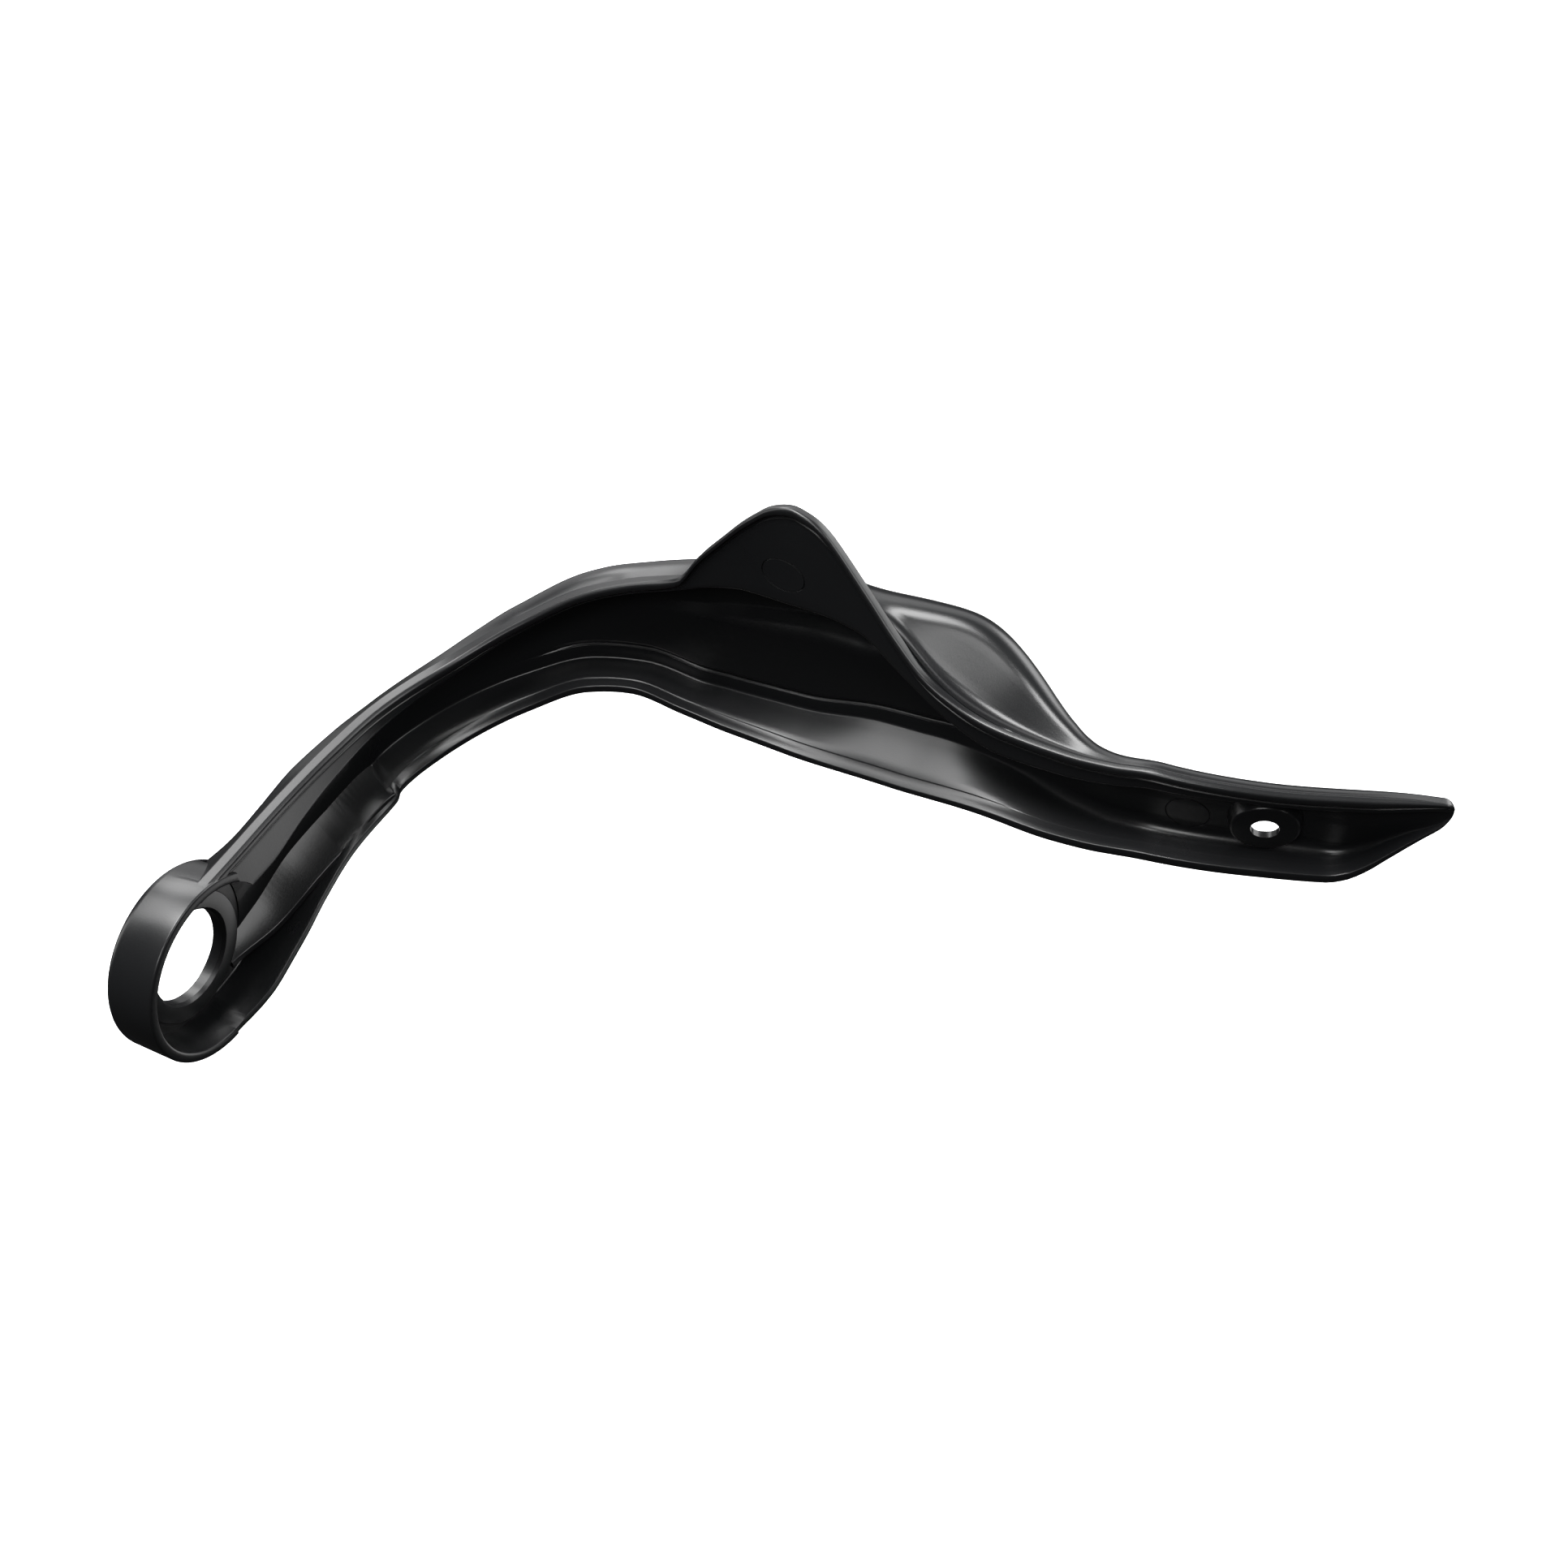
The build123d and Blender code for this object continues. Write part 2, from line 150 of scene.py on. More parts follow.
# lift of the fold under the blade's inner end, and of the ridge, to their lines in the photograph
ROOF_LIFT = [(0, 0), (172, 0), (181, 2.2), (190, 5.2), (196, 6.6), (203, 5.6), (208, 4.3), (213, 2.9),
             (219, 1.6), (226, 0.7), (234, 0), (336, 0)]
CREST_LIFT = [(0, 0), (14, -0.6), (26, -0.3), (38, 1.4), (50, 1), (62, -0.8), (76, -1.4), (90, -0.6),
              (104, 2.4), (118, 2.7), (130, -0.8), (142, 0), (176, 0), (184, -1.7), (190, -3), (196, -0.6),
              (202, 2.5), (208, 5.6), (214, 6.2), (220, 5.7), (226, 4.6), (232, 2.6), (245, 1), (256, 0),
              (336, 0)]
# depth of the groove over the front wall's foot, and radius inside that foot
FOOT_GROOVE = [(0, 0.02), (96, 0.02), (124, 0.9), (214, 0.9), (236, 0.02), (336, 0.02)]
FOOT_ROUND = [(0, 0.8), (226, 0.8), (250, 3.2), (300, 3.2), (317, 2), (336, 0.6)]
# depth of the fine line inside the bottom rim, and rise of that rim at its notch
RIM_LINE = [(0, 0.02), (64, 0.02), (76, 0.2), (226, 0.2), (244, 0.02), (336, 0.02)]
RIM_NOTCH = [(0, 0), (36, 0), (50, -0.7), (58, -1.2), (60.2, -1.2), (61.6, 0.5), (66, 0.3), (74, 0)]
# more cross sections at the notch
NOTCH_STATIONS = [59.9, 60.6, 61.2, 61.9]
# height of the rib's edge, its rise to the front and its set from the rider's edge
RIB_TOP = [(2, -13), (15, -12), (30, -7), (44, -3), (60, 2.6)]
RIB_LEAN = [(2, 4), (15, 6.5), (30, 8), (46, 7.6), (60, 6.2)]
RIB_SET = [(2, 5), (15, 2.5), (30, 0.4), (44, 0), (60, 0)]

# Sizes of the cross section: the top edge, a bead that turns into the foot of the blade
FULL_BLADE = 6.0  # rise from which the blade stands upright
PEAK_SHARE = 0.994  # share of the rise that keeps the rounded peak inside the CAD model's height
BEAD_WIDE = 3.4  # from the rider's edge to the valley beside the bead
BLADE_LESS = 0.8  # how much nearer that valley lies beside the blade
BEAD_BACK = 0.9  # from the rider's edge to the bead's back
BEAD_CROWN = 0.3  # how far the bead's back and the valley rise
BEAD_FALL = 0.4  # how far the bead's front falls
# the undercut below the bead: its size at most, and as a share of the strip under the bead
UNDERCUT_TALL, UNDERCUT_TALL_SHARE = 0.8, 0.35
UNDERCUT_DEEP, UNDERCUT_DEEP_SHARE = 0.25, 0.2
UNDERCUT_FOOT = 1.2
# the roof's inside, which follows the scoop where that is wide and else is flat from fold to ridge
SCOOP_FULL = 1.5
FOLD_SHARE, RIDGE_SHARE = 0.65, 0.35
ROOF_SAG = 0.06
# the groove over the front wall's foot, nearer to the foot where the wall is low
TALL_WALL = 12
GROOVE_TOP, GROOVE_DEEP, GROOVE_FOOT = 5.6, 4.2, 3.9
# the strip between the bottom rim and the fine line inside it
RIM_STRIP, RIM_STRIP_SHARE = 3.0, 0.4
RIM_LINE_SLOPE = 1.06
# rounds: half turn in radians up to which a corner is straight, spread of the points laid there,
# and share of the straights that a round takes up
STRAIGHT = 0.002
STRAIGHT_SPREAD = 0.05
ROUND_ROOM = 0.97

# Fineness of the mesh, and angle from which an edge is sharp
EDGE_STEPS = 200
SHELL_STEPS = 228
TIP_STEPS = 8
TIP_LEAST = 0.03
END_GAP = 0.02
RIB_STEPS = 40
CUP_STEPS = 160
PEG_SIDES = 96
SHARP_ANGLE = 32
# fairing of the crest over the scoop: where, the length over which it sets in, and its reach
CREST_START, CREST_END = 176, 256
CREST_EASE = 8
FAIR = 5.0


def guide_slope(guide, at):
    """Slope of a guide at one of its points, flat at its ends and turns so that it never overshoots."""
    if at in (0, len(guide) - 1):
        return 0.0
    (s0, v0), (s1, v1), (s2, v2) = guide[at - 1:at + 2]
    before = (v1 - v0) / (s1 - s0)
    after = (v2 - v1) / (s2 - s1)
    if before * after <= 0:
        return 0.0
    return 2 * before * after / (before + after)


def along(guide, s):
    """Size on a guide curve at distance s along the rider's edge."""
    for at in range(len(guide) - 1):
        (s0, v0), (s1, v1) = guide[at], guide[at + 1]
        if s <= s1:
            t = max(0.0, (s - s0) / (s1 - s0))
            m0 = guide_slope(guide, at) * (s1 - s0)
            m1 = guide_slope(guide, at + 1) * (s1 - s0)
            return (v0 * (1 + 2 * t) + m0 * t) * (1 - t) ** 2 + (v1 * (3 - 2 * t) - m1 * (1 - t)) * t * t
    return guide[-1][1]


def lagrange_slope(ts, vs, t):
    """Slope at t of the cubic through four points."""
    slope = 0.0
    for i in range(4):
        for j in range(4):
            if j == i:
                continue
            term = 1.0 / (ts[i] - ts[j])
            for k in range(4):
                if k != i and k != j:
                    term *= (t - ts[k]) / (ts[i] - ts[k])
            slope += vs[i] * term
    return slope


def edge_spline():
    """The rider's edge from above: smooth curve through PLAN, as points by distance."""
    pts = [Vector(p) for p in PLAN]
    ts = [0.0]
    for a, b in zip(pts, pts[1:]):
        ts.append(ts[-1] + (b - a).length)
    n = len(pts)
    slopes = []
    for axis in (0, 1):
        vs = [p[axis] for p in pts]
        first = lagrange_slope(ts[:4], vs[:4], ts[0])
        last = lagrange_slope(ts[-4:], vs[-4:], ts[-1])
        low, mid, up, rhs = [0.0] * n, [1.0] * n, [0.0] * n, [0.0] * n
        rhs[0], rhs[-1] = first, last
        for i in range(1, n - 1):
            h0, h1 = ts[i] - ts[i - 1], ts[i + 1] - ts[i]
            low[i], mid[i], up[i] = h1, 2 * (h0 + h1), h0
            rhs[i] = 3 * (h1 * (vs[i] - vs[i - 1]) / h0 + h0 * (vs[i + 1] - vs[i]) / h1)
        for i in range(1, n):
            f = low[i] / mid[i - 1]
            mid[i] -= f * up[i - 1]
            rhs[i] -= f * rhs[i - 1]
        out = [0.0] * n
        out[-1] = rhs[-1] / mid[-1]
        for i in range(n - 2, -1, -1):
            out[i] = (rhs[i] - up[i] * out[i + 1]) / mid[i]
        slopes.append(out)
    fine = []
    for i in range(n - 1):
        h = ts[i + 1] - ts[i]
        for k in range(EDGE_STEPS):
            t = k / EDGE_STEPS
            fine.append(Vector([
                (pts[i][a] * (1 + 2 * t) + slopes[a][i] * h * t) * (1 - t) ** 2
                + (pts[i + 1][a] * (3 - 2 * t) - slopes[a][i + 1] * h * (1 - t)) * t * t
                for a in (0, 1)]))
    fine.append(pts[-1])
    run = [0.0]
    for a, b in zip(fine, fine[1:]):
        run.append(run[-1] + (b - a).length)
    return fine, run


EDGE, EDGE_RUN = edge_spline()


def station(s):
    """Point on the rider's edge at distance s and the unit vector out of the shell there."""
    want = (s - FIRST) / (LAST - FIRST) * EDGE_RUN[-1]
    lo, hi = 0, len(EDGE) - 2
    while lo < hi:
        mid = (lo + hi + 1) // 2
        if EDGE_RUN[mid] <= want:
            lo = mid
        else:
            hi = mid - 1
    t = (want - EDGE_RUN[lo]) / (EDGE_RUN[lo + 1] - EDGE_RUN[lo])
    here = EDGE[lo].lerp(EDGE[lo + 1], min(1.0, t))
    a, b = EDGE[max(lo - 2, 0)], EDGE[min(lo + 3, len(EDGE) - 1)]
    heading = (b - a).normalized()
    return here, Vector((-heading.y, heading.x))


def inset_corner(a, b, c, wall):
    """Corner at one wall's distance inside the corner b of the path a, b, c."""
    d0 = (Vector(b) - Vector(a)).normalized()
    d1 = (Vector(c) - Vector(b)).normalized()
    n0 = Vector((-d0.y, d0.x))
    n1 = Vector((-d1.y, d1.x))
    return Vector(b) + (n0 + n1) * (wall / (1 + n0.dot(n1)))


def shell_section(s):
    """Corners (outwards, up) of the shell at distance s: place, round, steps of the round, steps on."""
    thin = along(THIN, s)
    wall = WALL * thin
    edge = EDGE_ROUND * thin
    top = along(TOP, s)
    roof = top + along(ROOF_LIFT, s)
    rise = along(BLADE_RISE, s)
    upright = min(1.0, rise / FULL_BLADE)
    peak = top + PEAK_SHARE * rise
    bottom = along(BOTTOM, s)
    notch = along(RIM_NOTCH, s)
    low = along(BOTTOM_CORNER, s)
    high = along(RIDGE_CORNER, s)
    rim = Vector((along(BOTTOM_SET, s), bottom + notch))
    heel = (along(BOTTOM_DEPTH, s), bottom + along(TILT, s))
    near = along(TOP_SET, s)
    face = near + BEAD_STEP * thin
    ridge = (along(TOP_DEPTH, s), top + along(RIDGE, s) + along(CREST_LIFT, s))
    scoop = along(SCOOP, s)
    crown = BEAD_CROWN * (1 - upright)
    valley = (near + (BEAD_WIDE - BLADE_LESS * upright) * thin + scoop, roof + crown)
    ledge = along(LEDGE, s) / 2
    out, up = ridge[0] - heel[0], ridge[1] - heel[1]
    step_low = (heel[0] + LEDGE_LOW * out - ledge, heel[1] + LEDGE_LOW * up)
    step_high = (heel[0] + LEDGE_HIGH * out + ledge, heel[1] + LEDGE_HIGH * up)
    hollow = along(HOLLOW, s)
    path_out = (rim, heel, step_low, step_high, ridge, valley)
    deep = [inset_corner(*path_out[i:i + 3], wall) for i in range(4)]
    deep = [Vector((face + hollow * (n - face), z)) for n, z in deep]
    low_in, step_low_in, step_high_in, top_in = deep
    blade_back = (near + (BEAD_BACK + (BLADE - BEAD_BACK) * upright) * thin, peak + crown)
    blade_edge = (near, peak - BEAD_FALL * (1 - upright) * thin)
    fold = (face, roof - wall - along(FLANGE, s))
    under = inset_corner(ridge, valley, blade_back, wall)
    share = min(1.0, scoop / SCOOP_FULL)
    flat = (FOLD_SHARE * fold[0] + RIDGE_SHARE * top_in[0],
            FOLD_SHARE * fold[1] + RIDGE_SHARE * top_in[1] - ROOF_SAG)
    valley_in = tuple(share * under[i] + (1 - share) * flat[i] for i in (0, 1))
    # undercut below the bead, as deep as the strip under it allows
    bead_foot = peak - BEAD * thin
    strip = bead_foot - fold[1]
    undercut = min(UNDERCUT_TALL * thin, UNDERCUT_TALL_SHARE * strip)
    sunk = face + min(UNDERCUT_DEEP * thin, UNDERCUT_DEEP_SHARE * strip)
    # groove that parts the front wall from the low strip at its foot
    wall_up = (step_low_in - low_in).normalized()
    into = Vector((wall_up.y, -wall_up.x)) * along(FOOT_GROOVE, s)
    tall = min(1.0, (step_low_in - low_in).length / TALL_WALL)
    # fine line inside the bottom rim, whose strip lies a little lower
    drop = Vector((0, along(RIM_LINE, s)))
    rim_in = Vector((rim.x, bottom + wall))
    on_wall = low_in - rim_in
    inward = on_wall.normalized() * min(RIM_STRIP, RIM_STRIP_SHARE * on_wall.length)
    return [
        (rim, edge, 4, 4),
        (heel, low, 10, 6),
        (step_low, 2 * thin, 5, 1),
        (step_high, 2 * thin, 5, 5),
        (ridge, high, 12, 5),
        (valley, along(VALLEY, s), 8, 8),
        (blade_back, 0.6 * edge, 4, 1),
        (blade_edge, 0.9 * thin, 6, 1),
        ((near, bead_foot), 0.4 * thin, 3, 1),
        ((sunk, bead_foot), 0.1 * thin, 1, 1),
        ((sunk, bead_foot - undercut), 0.1 * thin, 1, 1),
        ((face, bead_foot - UNDERCUT_FOOT * undercut), 0.2 * thin, 2, 8),
        (fold, along(FOLD, s), 6, 3),
        (valley_in, 1.2 * thin, 4, 4),
        (top_in, high / 2 * thin, 8, 5),
        (step_high_in, 1.5 * thin, 5, 1),
        (step_low_in, 4.5 * thin, 8, 5),
        (low_in + wall_up * (GROOVE_TOP * tall), 0.3 * thin, 4, 1),
        (low_in + wall_up * (GROOVE_DEEP * tall) + into, 0.4 * thin, 2, 1),
        (low_in + wall_up * (GROOVE_FOOT * tall), 0.1 * thin, 2, 2),
        (low_in, along(FOOT_ROUND, s) * thin, 6, 5),
        (rim_in + inward * RIM_LINE_SLOPE, 0.05 * thin, 1, 1),
        (rim_in + inward - drop, 0.05 * thin, 1, 2),
        (rim_in - drop + Vector((0, notch)), 0.3 * thin, 3, 2),
    ]


def outline(corners):
    """Closed outline through the corners with true rounds, the same count of points everywhere."""
    count = len(corners)
    turns, reaches = [], []
    for i, (at, radius, steps, steps_on) in enumerate(corners):
        here = Vector(at)
        back = (Vector(corners[i - 1][0]) - here).normalized()
        on = (Vector(corners[(i + 1) % count][0]) - here).normalized()
        half = (pi - acos(max(-1.0, min(1.0, back.dot(on))))) / 2
        turns.append((here, back, on, half))
        reaches.append(radius * tan(half))
    rounds = []
    for i, (at, radius, steps, steps_on) in enumerate(corners):
        here, back, on, half = turns[i]
        after = (i + 1) % count
        if half < STRAIGHT:
            # no turn to round, so the points lie along the straight
            spread = [back.lerp(on, k / steps) for k in range(steps + 1)]
            rounds.append([here + STRAIGHT_SPREAD * part for part in spread])
            continue
        # a round is made smaller where it would run into its neighbour
        room_before = (turns[i - 1][0] - here).length / max(1e-6, reaches[i - 1] + reaches[i])
        room_after = (turns[after][0] - here).length / max(1e-6, reaches[i] + reaches[after])
        radius *= min(1.0, ROUND_ROOM * room_before, ROUND_ROOM * room_after)
        centre = here + (back + on).normalized() * (radius / cos(half))
        start = here + back * (radius * tan(half)) - centre
        end = here + on * (radius * tan(half)) - centre
        ring = []
        for k in range(steps + 1):
            f = k / steps
            w0, w1 = sin((1 - f) * 2 * half), sin(f * 2 * half)
            spoke = (start * w0 + end * w1) / max(1e-9, sin(2 * half))
            ring.append(centre + spoke)
        rounds.append(ring)
    points = []
    for i, ring in enumerate(rounds):
        points += ring
        after = rounds[(i + 1) % len(rounds)][0]
        steps_on = corners[i][3]
        for k in range(1, steps_on):
            points.append(ring[-1].lerp(after, k / steps_on))
    return points


def pick(name):
    """Name the piece that was just added."""
    piece = bpy.context.object
    piece.name = name
    piece.data.name = name
    return piece


def clear_selection():
    """Leave edit mode and select nothing."""
    if bpy.context.object and bpy.context.object.mode != "OBJECT":
        bpy.ops.object.mode_set(mode="OBJECT")
    bpy.ops.object.select_all(action="DESELECT")


def loft_skin(name, sections):
    """Closed skin through sections of equal point count: a grid bent round and joined to itself."""
    clear_selection()
    rows, columns = len(sections), len(sections[0])
    bpy.ops.mesh.primitive_grid_add(x_subdivisions=columns, y_subdivisions=rows - 1, size=1)
    piece = pick(name)
    mesh = piece.data
    in_rows = sorted(mesh.vertices, key=lambda v: (round(v.co.y, 5), v.co.x))
    for n, vertex in enumerate(in_rows):
        row, column = divmod(n, columns + 1)
        vertex.co = sections[row][column % columns]
    bpy.ops.object.mode_set(mode="EDIT")
    bpy.ops.mesh.select_mode(type="VERT")
    bpy.ops.mesh.select_all(action="SELECT")
    bpy.ops.mesh.remove_doubles(threshold=1e-7)
    bpy.ops.mesh.select_all(action="DESELECT")
    bpy.ops.mesh.select_non_manifold()
    bpy.ops.mesh.edge_face_add()
    bpy.ops.mesh.select_all(action="SELECT")
    bpy.ops.mesh.normals_make_consistent(inside=False)
    bpy.ops.object.mode_set(mode="OBJECT")
    return piece


def cut(piece, tool, operation):
    """Join or cut with another piece, which is used up."""
    clear_selection()
    piece.select_set(True)
    bpy.context.view_layer.objects.active = piece
    mod = piece.modifiers.new("join", "BOOLEAN")
    mod.operation = operation
    mod.solver = "EXACT"
    mod.object = tool
    bpy.ops.object.modifier_apply(modifier=mod.name)
    bpy.data.objects.remove(tool)


def spun(name, profile, steps):
    """Ring spun about the bar's axis from a closed profile of (along the bar, radius)."""
    clear_selection()
    bpy.ops.mesh.primitive_circle_add(vertices=len(profile), fill_type="NOTHING")
    piece = pick(name)
    for v, (x, r) in zip(piece.data.vertices, profile):
        v.co = (x * MM, 0, r * MM)
    bpy.ops.object.mode_set(mode="EDIT")
    bpy.ops.mesh.select_all(action="SELECT")
    bpy.ops.mesh.spin(steps=steps, angle=2 * pi, center=(0, 0, 0), axis=(1, 0, 0))
    bpy.ops.mesh.select_all(action="SELECT")
    bpy.ops.mesh.remove_doubles(threshold=1e-6)
    bpy.ops.mesh.normals_make_consistent(inside=False)
    bpy.ops.object.mode_set(mode="OBJECT")
    return piece


def prism(name, corners, x0, x1):
    """Straight-sided block from corners (y, z) between two places along the bar."""
    clear_selection()
    bpy.ops.mesh.primitive_circle_add(vertices=len(corners), fill_type="NGON")
    piece = pick(name)
    for v, (y, z) in zip(piece.data.vertices, corners):
        v.co = (x0 * MM, y * MM, z * MM)
    bpy.ops.object.mode_set(mode="EDIT")
    bpy.ops.mesh.select_all(action="SELECT")
    bpy.ops.mesh.extrude_region_move(TRANSFORM_OT_translate={"value": ((x1 - x0) * MM, 0, 0)})
    bpy.ops.mesh.select_all(action="SELECT")
    bpy.ops.mesh.normals_make_consistent(inside=False)
    bpy.ops.object.mode_set(mode="OBJECT")
    return piece


def peg(name, foot, axis, diameter, length, edge=0.0, foot_diameter=0.0):
    """Round peg standing from foot along axis, its foot wider and its far edge rounded if asked."""
    clear_selection()
    bpy.ops.mesh.primitive_cone_add(vertices=PEG_SIDES, radius1=(foot_diameter or diameter) / 2 * MM,
                                    radius2=diameter / 2 * MM, depth=length * MM)
    piece = pick(name)
    if edge:
        bpy.ops.object.mode_set(mode="EDIT")
        bpy.ops.mesh.select_mode(type="FACE")
        bpy.ops.mesh.select_all(action="DESELECT")
        bm = bmesh.from_edit_mesh(piece.data)
        for f in bm.faces:
            f.select_set(f.normal.z > 0.9)
        bmesh.update_edit_mesh(piece.data)
        bpy.ops.mesh.bevel(offset=edge * MM, segments=4)
        bpy.ops.object.mode_set(mode="OBJECT")
    turn = axis.to_track_quat("Z", "Y").to_matrix().to_4x4()
    middle = (foot + axis * (length / 2)) * MM
    piece.data.transform(Matrix.Translation(middle) @ turn @ Matrix.Translation(-piece.location))
    piece.location = (0, 0, 0)
    return piece


def pin_mark(name, middle, facing, diameter, tall):
    """Fine ring that an ejector pin of the mould leaves round its end."""
    clear_selection()
    bpy.ops.mesh.primitive_torus_add(major_segments=PEG_SIDES, minor_segments=8,
                                     major_radius=diameter / 2 * MM, minor_radius=PIN_LINE * MM)
    piece = pick(name)
    turn = Vector(facing).to_track_quat("Z", "Y").to_matrix().to_4x4()
    put = Matrix.Translation(Vector(middle) * MM)
    piece.data.transform(put @ turn @ Matrix.Diagonal((1, tall, 1, 1)))
    return piece


def place(s, points):
    """Points (outwards, up) of the section at distance s, put in the frame."""
    here, out = station(s)
    return [Vector((here.x + out.x * n, here.y + out.y * n, z)) * MM for n, z in points]


def quarter(radius, steps):
    """Quarter round, as distances from the two sides of its corner."""
    angles = [pi / 2 * k / steps for k in range(steps + 1)]
    return [(radius * (1 - sin(a)), radius * (1 - cos(a))) for a in angles]


def set_inputs(node, values):
    """Set a shader node's inputs by name."""
    for name, value in values.items():
        node.inputs[name].default_value = value


def softbox(name, place_at, aim, width, height, power):
    """Soft rectangular light that the camera doesn't see."""
    light = bpy.data.lights.new(name, "AREA")
    light.shape = "RECTANGLE"
    light.size = width
    light.size_y = height
    light.energy = power
    lamp = bpy.data.objects.new(name, light)
    lamp.location = place_at
    lamp.rotation_euler = (Vector(aim) - Vector(place_at)).to_track_quat("-Z", "Y").to_euler()
    lamp.visible_camera = False
    bpy.context.scene.collection.objects.link(lamp)


# The moulded shell
STATIONS = [FIRST + (LAST - FIRST) * k / SHELL_STEPS for k in range(SHELL_STEPS - 1)] + NOTCH_STATIONS
STATIONS += [LAST - TIP_ROUND * (1 - sin(pi / 2 * k / TIP_STEPS)) for k in range(TIP_STEPS)]
STATIONS = sorted(s for s in STATIONS if s < LAST - END_GAP)
flats = [outline(shell_section(s)) for s in STATIONS]

# The crest over the scoop is drawn fair along the guard, from the ledge outside to the valley
counts = [steps + steps_on for at, radius, steps, steps_on in shell_section(FIRST)]
ledge_first, valley_last = sum(counts[:3]), sum(counts[:6])
fair = []
for s, points in zip(STATIONS, flats):
    ease = max(0.0, min(1.0, (s - CREST_START) / CREST_EASE, (CREST_END - s) / CREST_EASE))
    points = list(points)
    if ease:
        near_by = [(exp(-((t - s) / FAIR) ** 2 / 2), row)
                   for t, row in zip(STATIONS, flats) if abs(t - s) < 3 * FAIR]
        total = sum(w for w, row in near_by)
        for i in range(ledge_first, valley_last):
            mean = sum((row[i] * w for w, row in near_by), Vector((0, 0))) / total
            points[i] = points[i].lerp(mean, ease)
    fair.append(points)

# The tip closes in a round
rows = []
for s, points in zip(STATIONS, fair):
    if s > LAST - TIP_ROUND:
        small = sqrt(max(TIP_LEAST, 1 - ((s - LAST + TIP_ROUND) / TIP_ROUND) ** 2))
        heart = sum(points, Vector((0, 0))) / len(points)
        points = [heart + (p - heart) * small for p in points]
    rows.append(place(s, points))
guard = loft_skin("guard_moulding", rows)

# The bar-end cup with its seat
cup_floor = WALL - CUP_BACK
cup_inside = CUP_D / 2 - WALL
back_r = CUP_D / 2 - CUP_DRAFT
corner = [(p - CUP_BACK, back_r - q) for p, q in reversed(quarter(CUP_EDGE, 6))]
lip_out = [(CUP_RIM - p, CUP_D / 2 - q) for p, q in quarter(CUP_LIP, 4)]
lip_in = [(CUP_RIM - q, cup_inside + p) for p, q in quarter(CUP_LIP, 4)]
seat = [(-p, SEAT_D / 2 - q) for p, q in quarter(SEAT_EDGE, 3)]
cup_profile = ([(-CUP_BACK, HEAD_SINK_D / 2)] + corner + lip_out + lip_in
               + [(cup_floor, cup_inside - CUP_DRAFT), (cup_floor, SEAT_D / 2)] + seat
               + [(0, BAR_HOLE_D / 2 + HOLE_BEVEL), (-HOLE_BEVEL_DEEP, BAR_HOLE_D / 2),
                  (-SEAT_THICK, BAR_HOLE_D / 2), (-SEAT_THICK, HEAD_SINK_D / 2)])
cup = spun("bar_end_cup", cup_profile, CUP_STEPS)
# its wall is open towards the arm, its seat stays whole, and the shell leaves it free
mouth = prism("cup_mouth", CUP_MOUTH, cup_floor, CUP_MOUTH_END)
keep = peg("seat_keep", Vector((cup_floor - KEEP_GAP, 0, 0)), BAR_AXIS, SEAT_D + KEEP_GAP, KEEP_LENGTH)
cut(mouth, keep, "DIFFERENCE")
cut(cup, mouth, "DIFFERENCE")
room = peg("cup_room", Vector((-ROOM_REACH, 0, 0)), BAR_AXIS, 2 * cup_inside, 2 * ROOM_REACH)
cut(guard, room, "DIFFERENCE")
cut(guard, cup, "UNION")

# The rib between the arm's channel and the pocket
rib_rows = []
for k in range(RIB_STEPS + 1):
    s = RIB_FIRST + (RIB_LAST - RIB_FIRST) * k / RIB_STEPS
    top = along(RIB_TOP, s)
    near = along(RIB_SET, s)
    deep = along(BOTTOM_DEPTH, s) - WALL / 2
    lip = [(near + p, top - q) for p, q in quarter(RIB_EDGE, 3)]
    foot = [(n, 2 * top - RIB - z) for n, z in reversed(lip)]
    lean = along(RIB_LEAN, s)
    rib_rows.append(place(s, [(deep, top + lean)] + lip + foot + [(deep, top + lean - RIB)]))
rib = loft_skin("channel_rib", rib_rows)
cut(guard, rib, "UNION")

# The inner screw boss
boss_foot = BOSS_FACE - BOSS_AXIS * BOSS_LENGTH
boss = peg("screw_boss", boss_foot, BOSS_AXIS, BOSS_D, BOSS_LENGTH, BOSS_EDGE, BOSS_FOOT_D)
cut(guard, boss, "UNION")
sink_mouth = BOSS_FACE - BOSS_AXIS * (BOSS_FLOOR + SINK_DEEP)
sink = peg("screw_sink", sink_mouth, BOSS_AXIS, SCREW_SINK_D, SINK_DEEP, 0, SINK_MOUTH_D)
cut(guard, sink, "DIFFERENCE")
for mark in PIN_MARKS:
    cut(guard, pin_mark(*mark), "DIFFERENCE")
hole = peg("screw_hole", BOSS_FACE - BOSS_AXIS * HOLE_REACH, BOSS_AXIS, SCREW_HOLE_D, 2 * HOLE_REACH)
cut(guard, hole, "DIFFERENCE")

# Flat faces are split into triangles, and slivers without area that the cuts left are taken out
clear_selection()
guard.select_set(True)
bpy.context.view_layer.objects.active = guard
bpy.ops.object.mode_set(mode="EDIT")
bpy.ops.mesh.select_all(action="SELECT")
bpy.ops.mesh.quads_convert_to_tris(quad_method="BEAUTY", ngon_method="BEAUTY")
bpy.ops.mesh.dissolve_degenerate(threshold=2e-6)
bpy.ops.object.mode_set(mode="OBJECT")
bpy.ops.object.shade_smooth_by_angle(angle=radians(SHARP_ANGLE))

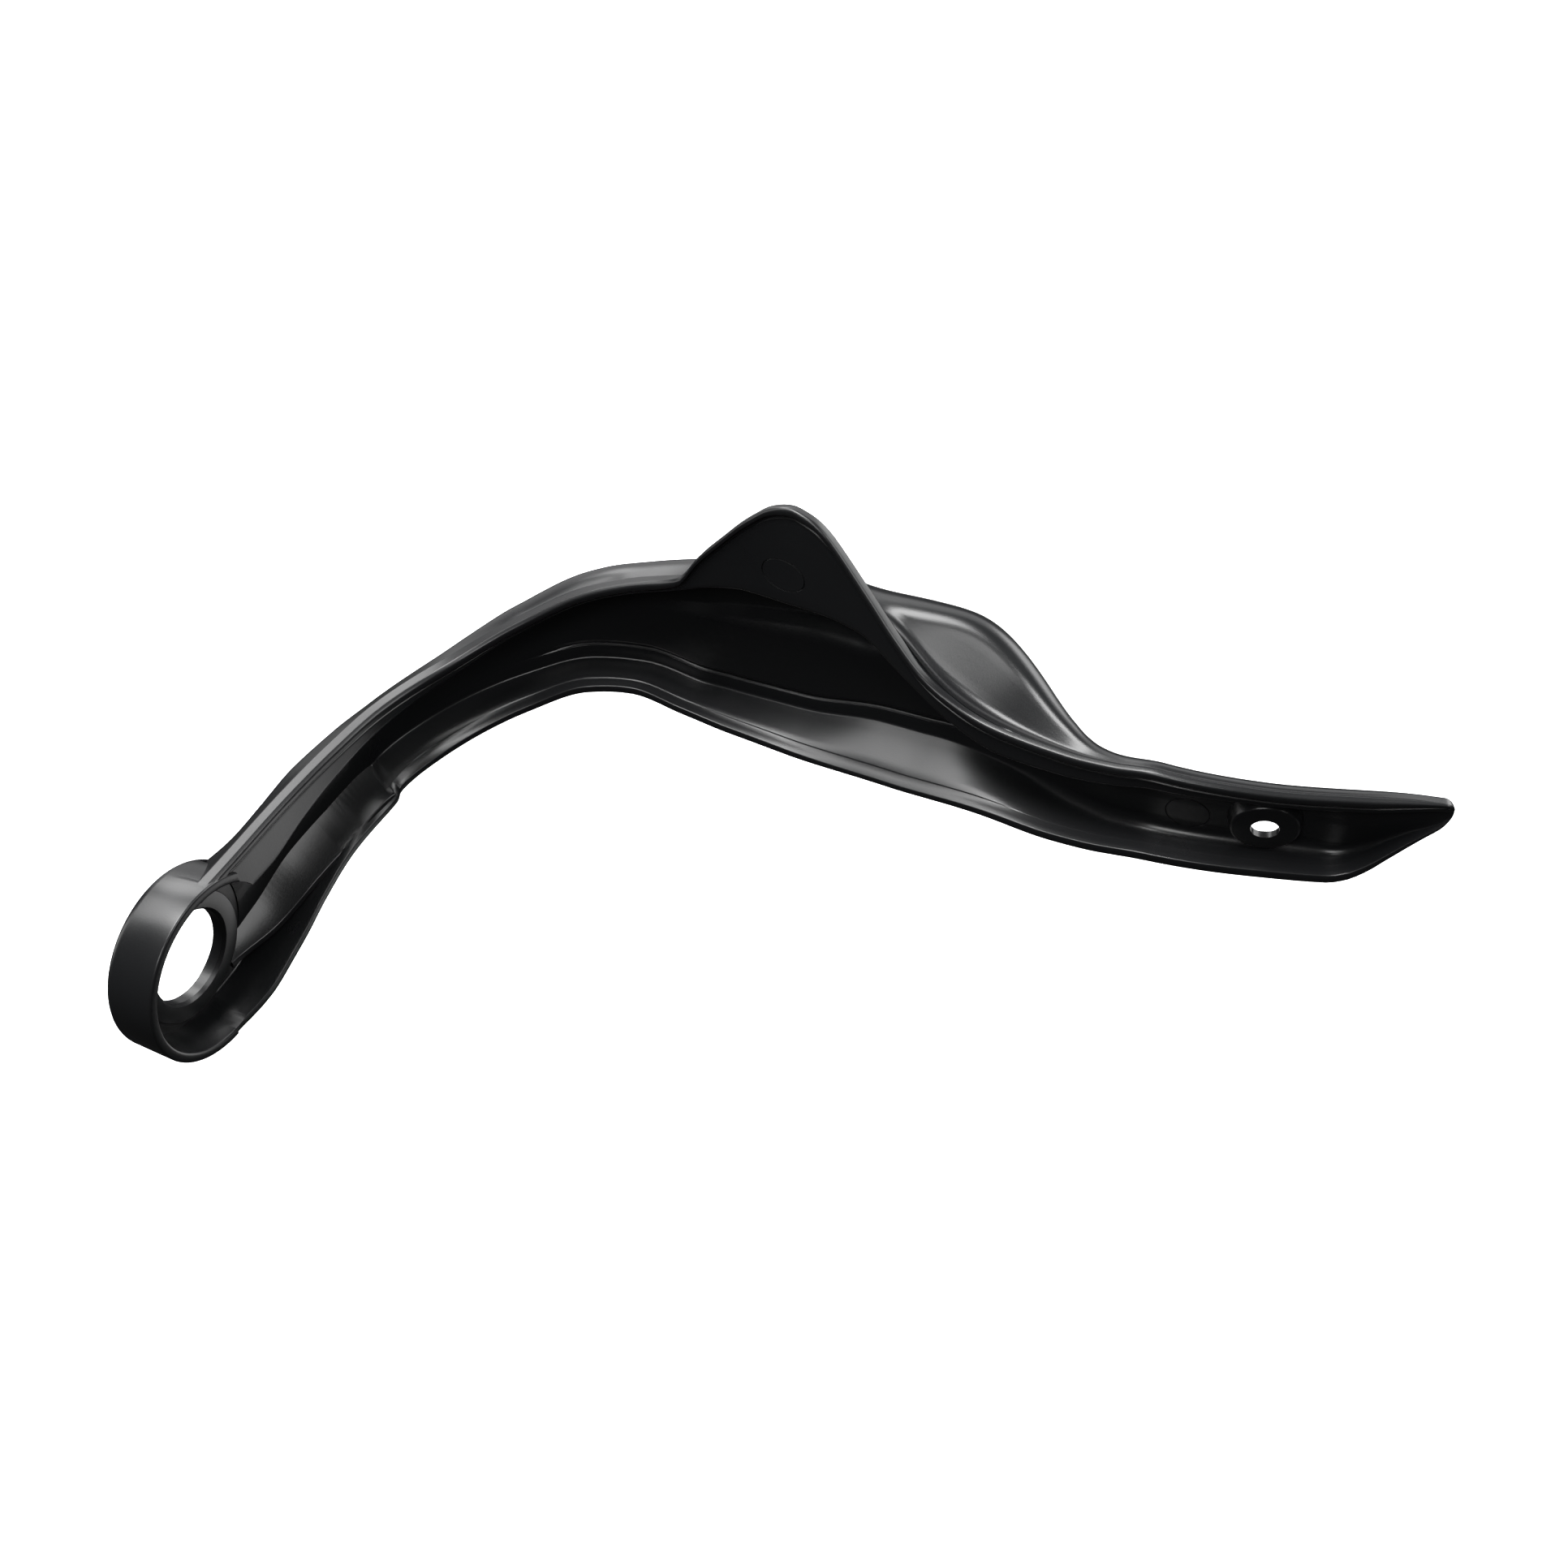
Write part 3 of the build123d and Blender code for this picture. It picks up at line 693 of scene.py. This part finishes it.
# Black moulded plastic: fine grain, with tone and gloss that vary a little over the flow of the mould
plastic = bpy.data.materials.new("black_moulded_plastic")
plastic.use_nodes = True
nodes, links = plastic.node_tree.nodes, plastic.node_tree.links
shader = nodes["Principled BSDF"]
coords = nodes.new("ShaderNodeTexCoord")
grain = nodes.new("ShaderNodeTexNoise")
set_inputs(grain, {"Scale": 2600, "Detail": 3})
flow = nodes.new("ShaderNodeTexNoise")
set_inputs(flow, {"Scale": 28, "Detail": 4})
tone = nodes.new("ShaderNodeMapRange")
set_inputs(tone, {"To Min": 0.25, "To Max": 0.32})
ramp = nodes.new("ShaderNodeValToRGB")
ramp.color_ramp.elements[0].color = (0.006, 0.0063, 0.007, 1)
ramp.color_ramp.elements[1].color = (0.011, 0.0114, 0.0122, 1)
bump = nodes.new("ShaderNodeBump")
set_inputs(bump, {"Strength": 0.12, "Distance": 0.0001})
for tex in (grain, flow):
    links.new(coords.outputs["Object"], tex.inputs["Vector"])
links.new(flow.outputs["Fac"], tone.inputs["Value"])
links.new(flow.outputs["Fac"], ramp.inputs["Fac"])
links.new(tone.outputs["Result"], shader.inputs["Roughness"])
links.new(ramp.outputs["Color"], shader.inputs["Base Color"])
links.new(grain.outputs["Fac"], bump.inputs["Height"])
links.new(bump.outputs["Normal"], shader.inputs["Normal"])
set_inputs(shader, {"IOR": 1.5})
guard.data.materials.clear()
guard.data.materials.append(plastic)

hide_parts("hand_guard")
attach(guard, "root")

# The floor glows white behind the guard but doesn't light it or show in its gloss
FLOOR_SIZE = 8
FLOOR_AT = (0.13, 0.05, -0.2)
clear_selection()
bpy.ops.mesh.primitive_plane_add(size=FLOOR_SIZE, location=FLOOR_AT)
floor = pick("studio_floor")
paper = bpy.data.materials.new("white_paper")
paper.use_nodes = True
set_inputs(paper.node_tree.nodes["Principled BSDF"],
           {"Base Color": (0.9, 0.9, 0.9, 1), "Emission Color": (1, 1, 1, 1), "Emission Strength": 1,
            "Roughness": 0.9})
floor.data.materials.append(paper)
floor.visible_glossy = False
floor.visible_diffuse = False

# Studio lights: name, place, aim, width and height in metres, power in watts
MIDDLE = (0.13, 0.06, 0.03)
ARM_ROOT = (0.01, 0.03, 0.0)
LIGHTS = [
    ("back_bank", (0.0, 0.80, 0.75), MIDDLE, 1.7, 0.6, 6),
    ("back_top_left", (-0.78, 0.75, 0.95), ARM_ROOT, 0.5, 0.5, 5),
    ("upper_left", (-0.55, 0.05, 0.90), MIDDLE, 0.5, 0.5, 5),
    ("back_left", (-0.6, 0.70, 0.25), MIDDLE, 0.8, 0.7, 1.3),
    ("back_right", (0.6, 0.75, 0.42), ARM_ROOT, 0.6, 0.6, 5),
    ("right_side", (0.75, 0.05, 0.68), ARM_ROOT, 0.45, 0.5, 3.2),
    ("overhead", (-0.15, -0.10, 1.0), MIDDLE, 0.5, 0.4, 11),
    ("rider_side", (0.10, -0.70, 0.72), MIDDLE, 0.4, 0.3, 3),
    ("floor_bounce", (0.16, 0.36, -0.17), ARM_ROOT, 0.4, 0.3, 0.6),
    ("left_strip", (-0.8, -0.15, 0.3), MIDDLE, 0.3, 0.8, 1.8),
]
for light in LIGHTS:
    softbox(*light)

world = bpy.data.worlds.new("studio")
bpy.context.scene.world = world
world.use_nodes = True
set_inputs(world.node_tree.nodes["Background"], {"Color": (1, 1, 1, 1), "Strength": 0.02})

# The camera as fitted to the photograph: place in metres, degrees that it looks down and is turned
# round the upright, and focal length for a frame 36 mm wide
CAMERA_AT = (0.2654, -0.2298, 0.3279)
CAMERA_DOWN = 40.4
CAMERA_TURN = 25.1
CAMERA_LENS = 43.45
lens = bpy.data.cameras.new("photo_camera")
lens.sensor_width = 36
lens.lens = CAMERA_LENS
camera = bpy.data.objects.new("photo_camera", lens)
camera.location = CAMERA_AT
camera.rotation_euler = (radians(90 - CAMERA_DOWN), 0, radians(CAMERA_TURN))
bpy.context.scene.collection.objects.link(camera)
bpy.context.scene.camera = camera
bpy.context.scene.view_settings.view_transform = "Standard"
